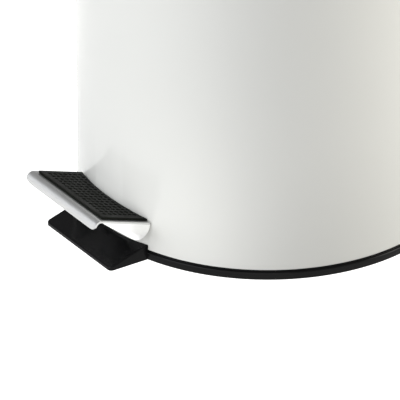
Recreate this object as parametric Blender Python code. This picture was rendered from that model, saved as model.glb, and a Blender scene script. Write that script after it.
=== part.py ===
"""Pedal trash can, 30 litre kitchen size, in metres, +Z up, pedal towards -Y.

The can's own axis is the local origin. Everything hangs on the empty "can_axis",
which stands AXIS_Y behind the frame's origin so that the origin is the centre of
the whole object's footprint.
"""

import math

import bmesh
import bpy
from mathutils import Matrix, Vector

# Driving dimensions
BODY_R = 0.146
BODY_WALL = 0.0012
GAP = 0.0003
SEGMENTS = 60
BODY_BOTTOM = 0.0082
BODY_TOP = 0.615

RING_R = 1.01 * BODY_R
RING_TOP = 0.0066
RING_BOTTOM = 0.0004
RING_UPSTAND = 0.016
GROOVE_R = 0.1452
UPSTAND_R = (0.1425, 0.1445)
FLOOR_TOP = 0.0050
FLOOR_BOTTOM = 0.0022
BASE_PLATE_R = 0.125
BASE_PLATE_TOP = FLOOR_TOP + GAP + 0.0012
FOOT_CIRCLE_R = 0.128
FOOT_R = 0.0085
SCREW_R = 0.0019
SCREW_HEAD_R = 0.0036
SCREW_HOLE_R = 0.0022

WEDGE_HALF = 0.3075 * BODY_R
WEDGE_FRONT = -1.19 * BODY_R
WEDGE_TIP = 0.022 * BODY_R
WEDGE_TOP = 0.078 * BODY_R

# The tread slopes up towards the foot, as z = TREAD_Z + TREAD_RISE * (TREAD_Y - y).
TREAD_Y = -1.2365 * BODY_R
TREAD_Z = 0.3385 * BODY_R
TREAD_RISE = 0.336
TREAD_ANGLE = math.atan(TREAD_RISE)
PAD_HALF = 0.308 * BODY_R
PAD_THICK = 0.0020
PLATE_HALF = 0.330 * BODY_R
PLATE_THICK = 0.0015
PEDAL_REAR_R = 1.005 * BODY_R
NOSE_R = 0.035 * BODY_R
NOSE_Y = -1.260 * BODY_R
CHEEK_FRONT = (-1.250 * BODY_R, 0.318 * BODY_R)
CHEEK_CENTRE = (-1.020 * BODY_R, 0.222 * BODY_R)
CHEEK_SEMI = (0.067 * BODY_R, 0.0735 * BODY_R)

PIVOT = Vector((0, -0.65 * BODY_R, 0.018))
LEVER_HALF = 0.016
LEVER_THICK = 0.003
LEVER_REAR = 0.137
WEB_TOP = 0.0254
FLANGE_BOTTOM = 0.0114
SLOT_HALF = 0.0185
SLOT_LOW = 0.0175
SLOT_HIGH = 0.0355
BRACKET_INNER = LEVER_HALF + 0.0043
BRACKET_THICK = 0.002
BRACKET_REACH = 0.018
PIN_R = 0.003
HOLE_EASE = 0.0003

LID_PIN = Vector((0, 0.156, 0.632))
CRANK_LENGTH = 0.033
CRANK_REST = math.radians(-30)
CRANK_NOSE_R = 0.005
HINGE_PIN_R = 0.0025
ARM_HALF = 0.0265
EAR_OUTER = 0.038
EAR_R = 0.007

ROD_Y = 0.129
ROD_R = 0.0025
ROD_GAP = 0.0004
ROD_LOW = 0.0358
ROD_LENGTH = 0.5632
SHOE_R = 0.004
CHANNEL_HALF = 0.017
CHANNEL_FLANGE = 0.0245
CHANNEL_WALL = 0.0015
CHANNEL_Y = (0.1185, 0.1400)
CHANNEL_Z = (0.095, 0.588)
RIVET_Z = (0.112, 0.548)
GUIDE_Z = (0.130, 0.520)

COLLAR_TOP = 0.624
SHELF_TOP = 0.6185
COLLAR_INNER_R = 0.136
SHELF_R = 0.131
SKIRT_R = (0.1415, 0.1445)
SKIRT_LOW = 0.592
BUCKET_BOTTOM = 0.090
BUCKET_R = 0.1285
BUCKET_FOOT_R = 0.1215
BUCKET_SPLIT_R = 0.1279
BUCKET_SPLIT_Z = 0.572
BUCKET_RIM_R = 0.1345
BUCKET_WALL = 0.002
REAR_SPLIT = 0.116

LID_BOTTOM = 0.626
LID_EDGE_TOP = 0.648
LID_TOP = 0.656
LID_EDGE_R = 0.008
LID_WALL = 0.0012
LINER_LOW = 0.630
LINER_HIGH = 0.6325
LINER_EDGE_HIGH = 0.6395
LINER_WALL = 0.0025

HANDLE_BACK = BODY_R + 0.031
HANDLE_GRIP = 0.009
HANDLE_Z = (0.470, 0.486)
HOUSING_Z = (0.560, 0.6205)
HOUSING_BACK = 0.161
NOSE_FRONT = -NOSE_Y + NOSE_R
AXIS_Y = (NOSE_FRONT - HANDLE_BACK) / 2


def clear_scene():
    for obj in list(bpy.data.objects):
        bpy.data.objects.remove(obj, do_unlink=True)


def make_material(name, colour, roughness, metallic=0.0):
    material = bpy.data.materials.new(name)
    material.use_nodes = True
    shader = material.node_tree.nodes["Principled BSDF"]
    shader.inputs["Base Color"].default_value = (*colour, 1.0)
    shader.inputs["Roughness"].default_value = roughness
    shader.inputs["Metallic"].default_value = metallic
    material.diffuse_color = (*colour, 1.0)
    return material


def make_empty(name, place, parent=None):
    empty = bpy.data.objects.new(name, None)
    empty.empty_display_size = 0.02
    empty.location = place
    empty.parent = parent
    bpy.context.scene.collection.objects.link(empty)
    return empty


def finish(name, bm, material, body):
    """Turns the bmesh into an object whose origin is its body's joint axis."""
    bmesh.ops.recalc_face_normals(bm, faces=bm.faces[:])
    mesh = bpy.data.meshes.new(name)
    bm.to_mesh(mesh)
    bm.free()
    carrier = BODIES[body]
    if carrier is not BODIES["root"]:
        mesh.transform(Matrix.Translation(-carrier.location))
    mesh.shade_smooth()
    mesh.set_sharp_from_angle(angle=math.radians(35))
    obj = bpy.data.objects.new(name, mesh)
    obj.parent = carrier
    if material is None:
        obj.hide_render = True
        obj.display_type = "WIRE"
    else:
        mesh.materials.append(material)
    bpy.context.scene.collection.objects.link(obj)
    return obj


def ring_points(radius, segments, flat):
    """Points round the Z axis, held back to a flat rear where flat is given."""
    points = []
    for i in range(segments):
        angle = 2 * math.pi * i / segments
        y = -radius * math.cos(angle)
        points.append((radius * math.sin(angle), y if flat is None else min(y, flat)))
    return points


def add_band(bm, low, high, segments):
    """Faces between two rings of vertices, either of which may be a single point."""
    for i in range(segments):
        j = (i + 1) % segments
        lower = [low[i % len(low)], low[j % len(low)]]
        upper = [high[j % len(high)], high[i % len(high)]]
        bm.faces.new(list(dict.fromkeys(lower + upper)))


def turned(name, profile, material, body="root", segments=SEGMENTS, matrix=None):
    """A solid turned about Z from (radius, z[, flat]) points.

    A profile that starts and ends on the axis is capped there; any other is
    closed back on itself into a ring.
    """
    bm = bmesh.new()
    rings = []
    for radius, z, *flat in profile:
        if radius == 0:
            rings.append([bm.verts.new((0, 0, z))])
            continue
        outline = ring_points(radius, segments, flat[0] if flat else None)
        rings.append([bm.verts.new((x, y, z)) for x, y in outline])
    pairs = list(zip(rings, rings[1:]))
    if profile[0][0] > 0:
        pairs.append((rings[-1], rings[0]))
    for low, high in pairs:
        add_band(bm, low, high, segments)
    if matrix is not None:
        bmesh.ops.transform(bm, matrix=matrix, verts=bm.verts[:])
    return finish(name, bm, material, body)


def disc(name, radius, low, high, material=None, segments=SEGMENTS):
    """A solid round plate about Z."""
    profile = [(0, low), (radius, low), (radius, high), (0, high)]
    return turned(name, profile, material, segments=segments)


def along(start, direction):
    """The matrix that stands the Z axis on start, pointing along direction."""
    turn = Vector(direction).to_track_quat("Z", "Y").to_matrix().to_4x4()
    return Matrix.Translation(Vector(start)) @ turn


def shaft(name, start, direction, steps, material, body="root", segments=12):
    """Round stock along direction; steps are (radius, from, to) along it."""
    profile = [(0, steps[0][1])]
    for radius, low, high in steps:
        profile += [(radius, low), (radius, high)]
    profile.append((0, steps[-1][2]))
    return turned(name, profile, material, body, segments, along(start, direction))


def bush(name, start, direction, inner, outer, length, material, body="root"):
    profile = [(inner, 0), (outer, 0), (outer, length), (inner, length)]
    return turned(name, profile, material, body, 14, along(start, direction))


def prism(name, outline, axis, low, high, material, body="root"):
    """A flat outline, in the other two axes, drawn out along axis."""
    order = {"X": (2, 0, 1), "Y": (0, 2, 1), "Z": (0, 1, 2)}[axis]
    bm = bmesh.new()
    layers = []
    for level in (low, high):
        layer = []
        for u, v in outline:
            raw = (u, v, level)
            layer.append(bm.verts.new([raw[k] for k in order]))
        layers.append(layer)
    bm.faces.new(layers[0])
    bm.faces.new(layers[1])
    count = len(outline)
    for i in range(count):
        j = (i + 1) % count
        bm.faces.new((layers[0][i], layers[0][j], layers[1][j], layers[1][i]))
    return finish(name, bm, material, body)


def block(name, x, y, z, material, body="root"):
    outline = [(x[0], y[0]), (x[1], y[0]), (x[1], y[1]), (x[0], y[1])]
    return prism(name, outline, "Z", z[0], z[1], material, body)


def combine(obj, other, operation):
    modifier = obj.modifiers.new(f"{operation.lower()}_{other.name}"[:60], "BOOLEAN")
    modifier.operation = operation
    modifier.object = other


def cut(obj, *cutters):
    for cutter in cutters:
        combine(obj, cutter, "DIFFERENCE")


def join(obj, *others):
    for other in others:
        combine(obj, other, "UNION")


def bevel(obj, width, segments=2, angle=50):
    modifier = obj.modifiers.new("edges", "BEVEL")
    modifier.width = width
    modifier.segments = segments
    modifier.limit_method = "ANGLE"
    modifier.angle_limit = math.radians(angle)


def arc(centre, radius, start, end, steps):
    """Points on a circle or, with two radii, an ellipse; angles in degrees."""
    semi = radius if isinstance(radius, tuple) else (radius, radius)
    points = []
    for i in range(steps + 1):
        t = math.radians(start + (end - start) * i / steps)
        points.append((centre[0] + semi[0] * math.cos(t), centre[1] + semi[1] * math.sin(t)))
    return points


def mirrored(outline):
    """The half outline at +X, followed by its mirror image at -X."""
    return outline + [(-x, y) for x, y in reversed(outline)]


def tread_z(y, below=0.0):
    """Height of the tread's plane at y, or of a plane that far under it."""
    return TREAD_Z + TREAD_RISE * (TREAD_Y - y) - below / math.cos(TREAD_ANGLE)


def hole(name, start, direction, radius, length):
    return shaft(name, start, direction, [(radius, 0, length)], None)


def build_base():
    ring = turned(
        "base_ring",
        [
            (0, FLOOR_BOTTOM),
            (0.1385, FLOOR_BOTTOM),
            (0.1390, RING_BOTTOM),
            (RING_R - 0.0006, RING_BOTTOM),
            (RING_R, RING_BOTTOM + 0.0006),
            (RING_R, RING_TOP - 0.0005),
            (RING_R - 0.0005, RING_TOP),
            (GROOVE_R, RING_TOP),
            (GROOVE_R, BODY_BOTTOM - GAP),
            (UPSTAND_R[1], BODY_BOTTOM - GAP),
            (UPSTAND_R[1], RING_UPSTAND),
            (UPSTAND_R[0], RING_UPSTAND),
            (UPSTAND_R[0], FLOOR_TOP),
            (0, FLOOR_TOP),
        ],
        BLACK,
    )
    slope = (WEDGE_TOP - WEDGE_TIP) / (-BODY_R - WEDGE_FRONT)
    rear_y = -0.90 * BODY_R
    outline = [
        (WEDGE_FRONT, RING_BOTTOM),
        (WEDGE_FRONT, WEDGE_TIP),
        (rear_y, WEDGE_TIP + slope * (rear_y - WEDGE_FRONT)),
        (rear_y, RING_BOTTOM),
    ]
    wedge = prism("wedge", outline, "X", -WEDGE_HALF, WEDGE_HALF, None)
    bevel(wedge, 0.0008, 2, 20)
    cut(wedge, disc("wedge_clearance", BODY_R + GAP, RING_TOP - 0.0008, 0.03))
    join(ring, wedge)
    plate = disc("base_plate", BASE_PLATE_R, FLOOR_TOP + GAP, BASE_PLATE_TOP, STEEL)
    for i, angle in enumerate((45, 135, 225, 315)):
        x = FOOT_CIRCLE_R * math.cos(math.radians(angle))
        y = FOOT_CIRCLE_R * math.sin(math.radians(angle))
        steps = [(FOOT_R - 0.0007, 0, 0.0004), (FOOT_R, 0.0008, FLOOR_BOTTOM - GAP)]
        shaft(f"rubber_foot_{i + 1}", (x, y, 0), (0, 0, 1), steps, RUBBER, segments=16)
    return ring, plate


def build_base_screws(ring, plate, brackets):
    """Six screws: two through each bracket's foot and two at the plate's rear."""
    places = []
    for side in (-1, 1):
        for y in (-0.107, -0.083):
            seat = BASE_PLATE_TOP + GAP + BRACKET_THICK
            places.append((side * 0.029, y, seat, brackets[side]))
        places.append((side * 0.070, 0.075, BASE_PLATE_TOP, None))
    for i, (x, y, seat, bracket) in enumerate(places):
        start = (x, y, FLOOR_BOTTOM)
        depth = seat - FLOOR_BOTTOM
        steps = [(SCREW_R, 0.0004, depth + GAP), (SCREW_HEAD_R, depth + GAP, depth + 0.0016)]
        shaft(f"base_screw_{i + 1}", start, (0, 0, 1), steps, SCREW)
        drill = hole(f"base_screw_drill_{i + 1}", (x, y, 0.001), (0, 0, 1), SCREW_HOLE_R, 0.012)
        cut(ring, drill)
        cut(plate, drill)
        if bracket:
            cut(bracket, drill)


def build_body():
    inner = BODY_R - BODY_WALL
    shell = turned(
        "body_shell",
        [(BODY_R, BODY_BOTTOM), (BODY_R, BODY_TOP), (inner, BODY_TOP), (inner, BODY_BOTTOM)],
        PAINT,
    )
    slot = block(
        "pedal_slot",
        (-SLOT_HALF, SLOT_HALF),
        (-BODY_R - 0.01, -BODY_R + 0.02),
        (SLOT_LOW, SLOT_HIGH),
        None,
    )
    cut(shell, slot)
    return shell


def build_collar():
    collar = turned(
        "top_collar",
        [
            (BODY_R, BODY_TOP + GAP),
            (BODY_R, COLLAR_TOP - 0.0015),
            (BODY_R - 0.0015, COLLAR_TOP),
            (COLLAR_INNER_R, COLLAR_TOP),
            (COLLAR_INNER_R, SHELF_TOP),
            (SHELF_R, SHELF_TOP),
            (SHELF_R, SHELF_TOP - 0.003),
            (SKIRT_R[0], SHELF_TOP - 0.003),
            (SKIRT_R[0], SKIRT_LOW),
            (SKIRT_R[1], SKIRT_LOW),
            (SKIRT_R[1], BODY_TOP + GAP),
        ],
        BLACK,
    )
    bridge = disc("rear_bridge", 0.140, SHELF_TOP - 0.0028, COLLAR_TOP - 0.0003)
    keep = block("rear_bridge_keep", (-0.2, 0.2), (REAR_SPLIT, 0.2), (0.6, 0.64), None)
    combine(bridge, keep, "INTERSECT")
    shelf = disc("rear_shelf", 0.139, SHELF_TOP - 0.0028, SHELF_TOP)
    shelf_y = (REAR_SPLIT - 0.004, 0.2)
    keep_shelf = block("rear_shelf_keep", (-0.2, 0.2), shelf_y, (0.6, 0.64), None)
    combine(shelf, keep_shelf, "INTERSECT")
    join(collar, bridge, shelf)
    well = block("crank_well", (-0.011, 0.011), (0.1185, 0.1395), (0.58, 0.64), None)
    notch = block("crank_notch", (-0.0075, 0.0075), (0.130, 0.150), (0.6165, 0.64), None)
    cut(collar, well, notch)


def build_brackets():
    brackets = {}
    base = BASE_PLATE_TOP + GAP
    y0, y1 = PIVOT.y - BRACKET_REACH, PIVOT.y + BRACKET_REACH
    for side, word in ((-1, "left"), (1, "right")):
        x0, x1 = sorted((side * BRACKET_INNER, side * (BRACKET_INNER + BRACKET_THICK)))
        outline = [(y0, base), (y1, base), (y1, 0.013)]
        outline += arc((PIVOT.y, PIVOT.z), 0.009, 10, 170, 8)
        outline.append((y0, 0.013))
        bracket = prism(f"pedal_bracket_{word}", outline, "X", x0, x1, STEEL)
        foot_x = sorted((side * BRACKET_INNER, side * 0.036))
        foot_z = (base, base + BRACKET_THICK)
        join(bracket, block(f"bracket_foot_{word}", foot_x, (y0, y1), foot_z, None))
        brackets[side] = bracket
    drill = hole("pivot_drill", (-0.05, PIVOT.y, PIVOT.z), (1, 0, 0), PIN_R + HOLE_EASE, 0.1)
    for bracket in brackets.values():
        cut(bracket, drill)
    head = BRACKET_INNER + BRACKET_THICK + GAP
    steps = [(PIN_R, -head - 0.003, head), (0.0052, head, head + 0.002)]
    shaft("pedal_pivot_pin", (0, PIVOT.y, PIVOT.z), (1, 0, 0), steps, STEEL, segments=16)
    start = (-head - 0.0012, PIVOT.y, PIVOT.z)
    bush("pedal_pin_clip", start, (1, 0, 0), PIN_R + GAP, 0.0055, 0.0010, SCREW)
    for side, word in ((-1, "left"), (1, "right")):
        start = (side * (LEVER_HALF + GAP), PIVOT.y, PIVOT.z)
        length = BRACKET_INNER - LEVER_HALF - 2 * GAP
        bush(f"pivot_bush_{word}", start, (side, 0, 0), PIN_R + GAP, 0.006, length, NYLON)
    return brackets, drill


def build_pedal_plate():
    nose_z = tread_z(NOSE_Y, PAD_THICK) - NOSE_R / math.cos(TREAD_ANGLE)
    top = 90 - math.degrees(TREAD_ANGLE)
    rear = -0.93 * BODY_R
    centre = (NOSE_Y, nose_z)
    outline = [(rear, tread_z(rear, PAD_THICK))]
    outline += arc(centre, NOSE_R, top, 180, 7) + arc(centre, NOSE_R, 180, 240, 4)[1:]
    outline += arc(centre, NOSE_R - PLATE_THICK, 240, top, 8)
    outline.append((rear, tread_z(rear, PAD_THICK + PLATE_THICK)))
    half = PLATE_HALF - 0.0004
    plate = prism("pedal_plate", outline, "X", -half, half, STEEL_SATIN, "pedal")
    lean = math.atan2(0.82 * CHEEK_SEMI[0], CHEEK_SEMI[1])
    first = 270 - math.degrees(lean)
    cheek = [CHEEK_FRONT] + arc(CHEEK_CENTRE, CHEEK_SEMI, first, 350, 9)
    for y in (CHEEK_CENTRE[0] + CHEEK_SEMI[0], CHEEK_FRONT[0]):
        cheek.append((y, tread_z(y, PAD_THICK + 0.0001)))
    for side, word in ((-1, "left"), (1, "right")):
        x0, x1 = sorted((side * PLATE_HALF, side * (PLATE_HALF - PLATE_THICK)))
        join(plate, prism(f"cheek_{word}", cheek, "X", x0, x1, None, "pedal"))
    rear_cut = disc("pedal_rear_cut", PEDAL_REAR_R, -0.02, 0.1, segments=3 * SEGMENTS)
    cut(plate, rear_cut)
    return plate, rear_cut


def build_pad(rear_cut):
    rear = -0.93 * BODY_R
    outline = [
        (rear, tread_z(rear)),
        (TREAD_Y + 0.0008, tread_z(TREAD_Y + 0.0008)),
        (TREAD_Y, tread_z(TREAD_Y, 0.0008)),
        (TREAD_Y, tread_z(TREAD_Y, PAD_THICK - GAP)),
        (rear, tread_z(rear, PAD_THICK - GAP)),
    ]
    pad = prism("pedal_pad", outline, "X", -PAD_HALF, PAD_HALF, RUBBER, "pedal")
    cut(pad, rear_cut)


def build_lever(plate, pivot_drill):
    """An inverted channel whose web bends up under the tread at the front."""
    front, bend = -1.20 * BODY_R, -0.125
    under = PAD_THICK + PLATE_THICK + GAP
    web = [
        (LEVER_REAR, WEB_TOP),
        (bend, WEB_TOP),
        (-0.960 * BODY_R, tread_z(-0.960 * BODY_R, under)),
        (front, tread_z(front, under)),
        (front, tread_z(front, under + LEVER_THICK)),
        (-0.950 * BODY_R, tread_z(-0.950 * BODY_R, under + LEVER_THICK)),
        (bend + 0.001, WEB_TOP - LEVER_THICK),
        (LEVER_REAR, WEB_TOP - LEVER_THICK),
    ]
    lever = prism("pedal_lever", web, "X", -LEVER_HALF, LEVER_HALF, STEEL, "pedal")
    flange = [
        (-0.118, WEB_TOP - 0.001),
        (-0.118, FLANGE_BOTTOM + 0.004),
        (-0.112, FLANGE_BOTTOM),
        (0.060, FLANGE_BOTTOM),
        (0.105, WEB_TOP - LEVER_THICK - 0.002),
        (0.105, WEB_TOP - 0.001),
    ]
    for side, word in ((-1, "left"), (1, "right")):
        x0, x1 = sorted((side * (LEVER_HALF - 0.0001), side * (LEVER_HALF - 0.002)))
        join(lever, prism(f"lever_flange_{word}", flange, "X", x0, x1, None, "pedal"))
    cut(lever, pivot_drill)
    normal = Vector((0, math.sin(TREAD_ANGLE), math.cos(TREAD_ANGLE)))
    y = -1.11 * BODY_R
    for side, word in ((-1, "left"), (1, "right")):
        seat = Vector((side * 0.009, y, tread_z(y, PAD_THICK)))
        depth = PLATE_THICK + GAP + LEVER_THICK
        steps = [(0.0038, -depth - GAP - 0.0016, -depth - GAP), (0.0020, -depth - GAP, 0)]
        shaft(f"pedal_rivet_{word}", seat, normal, steps, STEEL, "pedal")
        drill = hole(f"rivet_drill_{word}", seat - normal * 0.0062, normal, 0.0023, 0.010)
        cut(lever, drill)
        cut(plate, drill)


def build_rod():
    shoe_low = WEB_TOP + ROD_GAP
    centre_z = shoe_low + SHOE_R
    outline = arc((ROD_Y, centre_z), SHOE_R, 180, 360, 8)
    outline += [(ROD_Y + SHOE_R, 0.042), (ROD_Y - SHOE_R, 0.042)]
    shoe = prism("rod_shoe", outline, "X", -0.007, 0.007, NYLON, "lift_rod")
    cut(shoe, hole("shoe_socket", (0, ROD_Y, 0.0355), (0, 0, 1), ROD_R + GAP, 0.01))
    rod_steps = [(ROD_R, 0, ROD_LENGTH)]
    shaft("lift_rod", (0, ROD_Y, ROD_LOW), (0, 0, 1), rod_steps, STEEL, "lift_rod")
    top = crank_point()[1] - CRANK_NOSE_R - ROD_GAP
    outline = [
        (ROD_Y - 0.0085, top - 0.0035),
        (ROD_Y - 0.0085, top),
        (ROD_Y + 0.0040, top),
        (ROD_Y + 0.0065, top - 0.0030),
        (ROD_Y + 0.0065, top - 0.0035),
    ]
    push = prism("rod_pusher", outline, "X", -0.0085, 0.0085, NYLON, "lift_rod")
    stem = block("pusher_stem", (-0.006, 0.006), (0.1235, 0.1345), (0.590, top - 0.002), None)
    join(push, stem)
    cut(push, hole("pusher_socket", (0, ROD_Y, 0.585), (0, 0, 1), ROD_R + GAP, 0.0145))


def crank_point():
    y = LID_PIN.y - CRANK_LENGTH * math.cos(CRANK_REST)
    return y, LID_PIN.z + CRANK_LENGTH * math.sin(CRANK_REST)


def build_channel(shell):
    """The cover that keeps the bag and the bucket off the rod."""
    front, back = CHANNEL_Y
    section = [
        (CHANNEL_HALF, front),
        (CHANNEL_HALF, back - CHANNEL_WALL),
        (CHANNEL_FLANGE, back - CHANNEL_WALL),
        (CHANNEL_FLANGE, back),
        (CHANNEL_HALF - CHANNEL_WALL, back),
        (CHANNEL_HALF - CHANNEL_WALL, front + CHANNEL_WALL),
    ]
    channel = prism("rod_channel", mirrored(section), "Z", *CHANNEL_Z, BLACK)
    guide_x = (CHANNEL_WALL + GAP - CHANNEL_HALF, CHANNEL_HALF - CHANNEL_WALL - GAP)
    guide_y = (front + CHANNEL_WALL + GAP, back - CHANNEL_WALL)
    for i, z in enumerate(GUIDE_Z):
        guide = block(f"rod_guide_{i + 1}", guide_x, guide_y, (z, z + 0.012), NYLON)
        start = (0, ROD_Y, z - 0.01)
        cut(guide, hole(f"guide_bore_{i + 1}", start, (0, 0, 1), ROD_R + GAP, 0.04))
    number = 0
    rivet_x = (CHANNEL_HALF + CHANNEL_FLANGE) / 2
    for z in RIVET_Z:
        for side in (-1, 1):
            number += 1
            start = (side * rivet_x, 0.130, z)
            steps = [(0.0030, 0.0070, 0.0082), (0.0014, 0.0082, 0.0163), (0.0030, 0.0163, 0.0173)]
            shaft(f"channel_rivet_{number}", start, (0, 1, 0), steps, STEEL)
            drill = hole(f"rivet_hole_{number}", start, (0, 1, 0), 0.0017, 0.03)
            cut(channel, drill)
            cut(shell, drill)


def build_hinge(shell):
    inner = BODY_R + GAP
    seat = arc((0, 0), inner, 70, 90, 8)
    outer = [(0.036, HOUSING_BACK), (0.044, HOUSING_BACK - 0.004), (seat[0][0], 0.149)]
    half = outer + seat[:-1]
    outline = half + [(0, inner)] + [(-x, y) for x, y in reversed(half)]
    housing = prism("hinge_housing", outline, "Z", *HOUSING_Z, BLACK)
    bevel(housing, 0.0012, 2)
    ear = [(0.1485, 0.6185), (0.1605, 0.6185)]
    ear += arc((LID_PIN.y, LID_PIN.z), EAR_R, 0, 180, 10)
    for side, word in ((-1, "left"), (1, "right")):
        x0, x1 = sorted((side * (ARM_HALF + 0.0005), side * EAR_OUTER))
        join(housing, prism(f"hinge_ear_{word}", ear, "X", x0, x1, None))
    drill = hole("hinge_drill", (-0.06, LID_PIN.y, LID_PIN.z), (1, 0, 0), HINGE_PIN_R + HOLE_EASE, 0.12)
    cut(housing, drill)
    head = EAR_OUTER + GAP
    steps = [(HINGE_PIN_R, -head - 0.0025, head), (0.0045, head, head + 0.0015)]
    shaft("lid_hinge_pin", LID_PIN, (1, 0, 0), steps, STEEL, segments=16)
    start = (-head - 0.0012, LID_PIN.y, LID_PIN.z)
    bush("hinge_pin_clip", start, (1, 0, 0), HINGE_PIN_R + GAP, 0.0045, 0.0010, SCREW)
    for side, word in ((-1, "left"), (1, "right")):
        fix(f"housing_screw_{word}", side, 14.5, 0.578, 0.0115, (shell, housing))
    return drill


def fix(name, side, angle, z, length, holders):
    """A screw driven outwards from inside the shell, in line with the can's radius."""
    turn = math.radians(90 - side * angle)
    out = Vector((math.cos(turn), math.sin(turn), 0))
    seat = out * (BODY_R - BODY_WALL - 0.0006)
    seat.z = z
    steps = [(SCREW_HEAD_R, -0.0018, 0), (SCREW_R, 0, length)]
    shaft(name, seat, out, steps, SCREW)
    drill = hole(f"{name}_drill", seat - out * 0.004, out, SCREW_HOLE_R, length + 0.0046)
    for holder in holders:
        cut(holder, drill)


def build_handle(shell):
    inner_r = BODY_R + GAP
    foot = arc((0, 0), inner_r, 66, 75, 3)
    grip_y = HANDLE_BACK - HANDLE_GRIP
    half = [(0.0, HANDLE_BACK), (0.037, HANDLE_BACK), (0.048, 0.171), (0.0625, 0.1385)]
    half += foot
    half += [(0.0375, 0.158), (0.031, grip_y), (0.0, grip_y)]
    outline = half + [(-x, y) for x, y in reversed(half[1:-1])]
    handle = prism("carry_handle", outline, "Z", *HANDLE_Z, BLACK)
    bevel(handle, 0.0022, 2)
    middle = (HANDLE_Z[0] + HANDLE_Z[1]) / 2
    for side, word in ((-1, "left"), (1, "right")):
        fix(f"handle_screw_{word}", side, 19.5, middle, 0.0125, (shell, handle))


def lid_profile(outset, low):
    """Half section of the lid's face, inset by outset, from the crown to the edge."""
    crown = LID_TOP - outset
    edge_r = LID_EDGE_R - outset
    corner = (BODY_R - LID_EDGE_R, LID_EDGE_TOP - LID_EDGE_R)
    points = [(0, crown)]
    for share in (0.45, 0.80):
        r = share * corner[0]
        points.append((r, LID_EDGE_TOP - outset + (LID_TOP - LID_EDGE_TOP) * (1 - share**2)))
    points += arc(corner, edge_r, 84, 0, 4)
    points.append((BODY_R - outset, low))
    return points


def build_lid(hinge_drill):
    outer = lid_profile(0, LID_BOTTOM)
    inner = lid_profile(LID_WALL, LID_BOTTOM)
    shell = turned("lid_shell", outer + inner[::-1], PAINT, "lid")
    skirt_r = BODY_R - LID_WALL - GAP
    liner = turned(
        "lid_liner",
        [
            (0, LINER_LOW),
            (skirt_r, LINER_LOW),
            (skirt_r, LINER_EDGE_HIGH),
            (skirt_r - LINER_WALL, LINER_EDGE_HIGH),
            (skirt_r - LINER_WALL, LINER_HIGH),
            (0, LINER_HIGH),
        ],
        BLACK,
        "lid",
    )
    notch_x = (-ARM_HALF - 0.0005, ARM_HALF + 0.0005)
    cut(shell, block("lid_notch", notch_x, (0.1375, 0.16), (0.60, 0.6373), None))
    cut(liner, block("liner_notch", notch_x, (0.1385, 0.16), (0.60, 0.6373), None))
    arm_z = (LINER_HIGH + GAP, LINER_HIGH + GAP + 0.0035)
    arm_x = (-ARM_HALF + 0.0002, ARM_HALF - 0.0002)
    arm = block("lid_hinge_arm", arm_x, (0.098, 0.153), arm_z, BLACK, "lid")
    knuckle = shaft("arm_knuckle", LID_PIN, (1, 0, 0), [(0.0065, -ARM_HALF, ARM_HALF)], None, segments=24)
    join(arm, knuckle)
    lean = 180 - math.degrees(CRANK_REST)
    crank = arc(crank_point(), CRANK_NOSE_R, lean - 90, lean + 170, 14)
    for offset, turn in ((CRANK_NOSE_R * math.sin(math.radians(10)), 90), (CRANK_NOSE_R, -90)):
        angle = math.radians(lean + turn)
        crank.append((LID_PIN.y + offset * math.cos(angle), LID_PIN.z + offset * math.sin(angle)))
    join(arm, prism("arm_crank", crank, "X", -0.005, 0.005, None, "lid"))
    cut(arm, hinge_drill)
    for i, x in enumerate((-0.018, 0.0, 0.018)):
        start = (x, 0.107, LINER_LOW)
        steps = [(SCREW_HEAD_R, -0.0019, -GAP), (SCREW_R, -GAP, 0.0056)]
        shaft(f"lid_screw_{i + 1}", start, (0, 0, 1), steps, SCREW, "lid")
        drill_start = (x, 0.107, LINER_LOW - 0.002)
        drill = hole(f"lid_screw_drill_{i + 1}", drill_start, (0, 0, 1), SCREW_HOLE_R, 0.010)
        cut(liner, drill)
        cut(arm, drill)
    for i, angle in enumerate((270, 30, 150)):
        x = 0.1385 * math.cos(math.radians(angle))
        y = 0.1385 * math.sin(math.radians(angle))
        steps = [(0.0020, COLLAR_TOP + GAP - LINER_LOW, -GAP)]
        shaft(f"lid_bumper_{i + 1}", (x, y, LINER_LOW), (0, 0, 1), steps, RUBBER, "lid")


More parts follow.
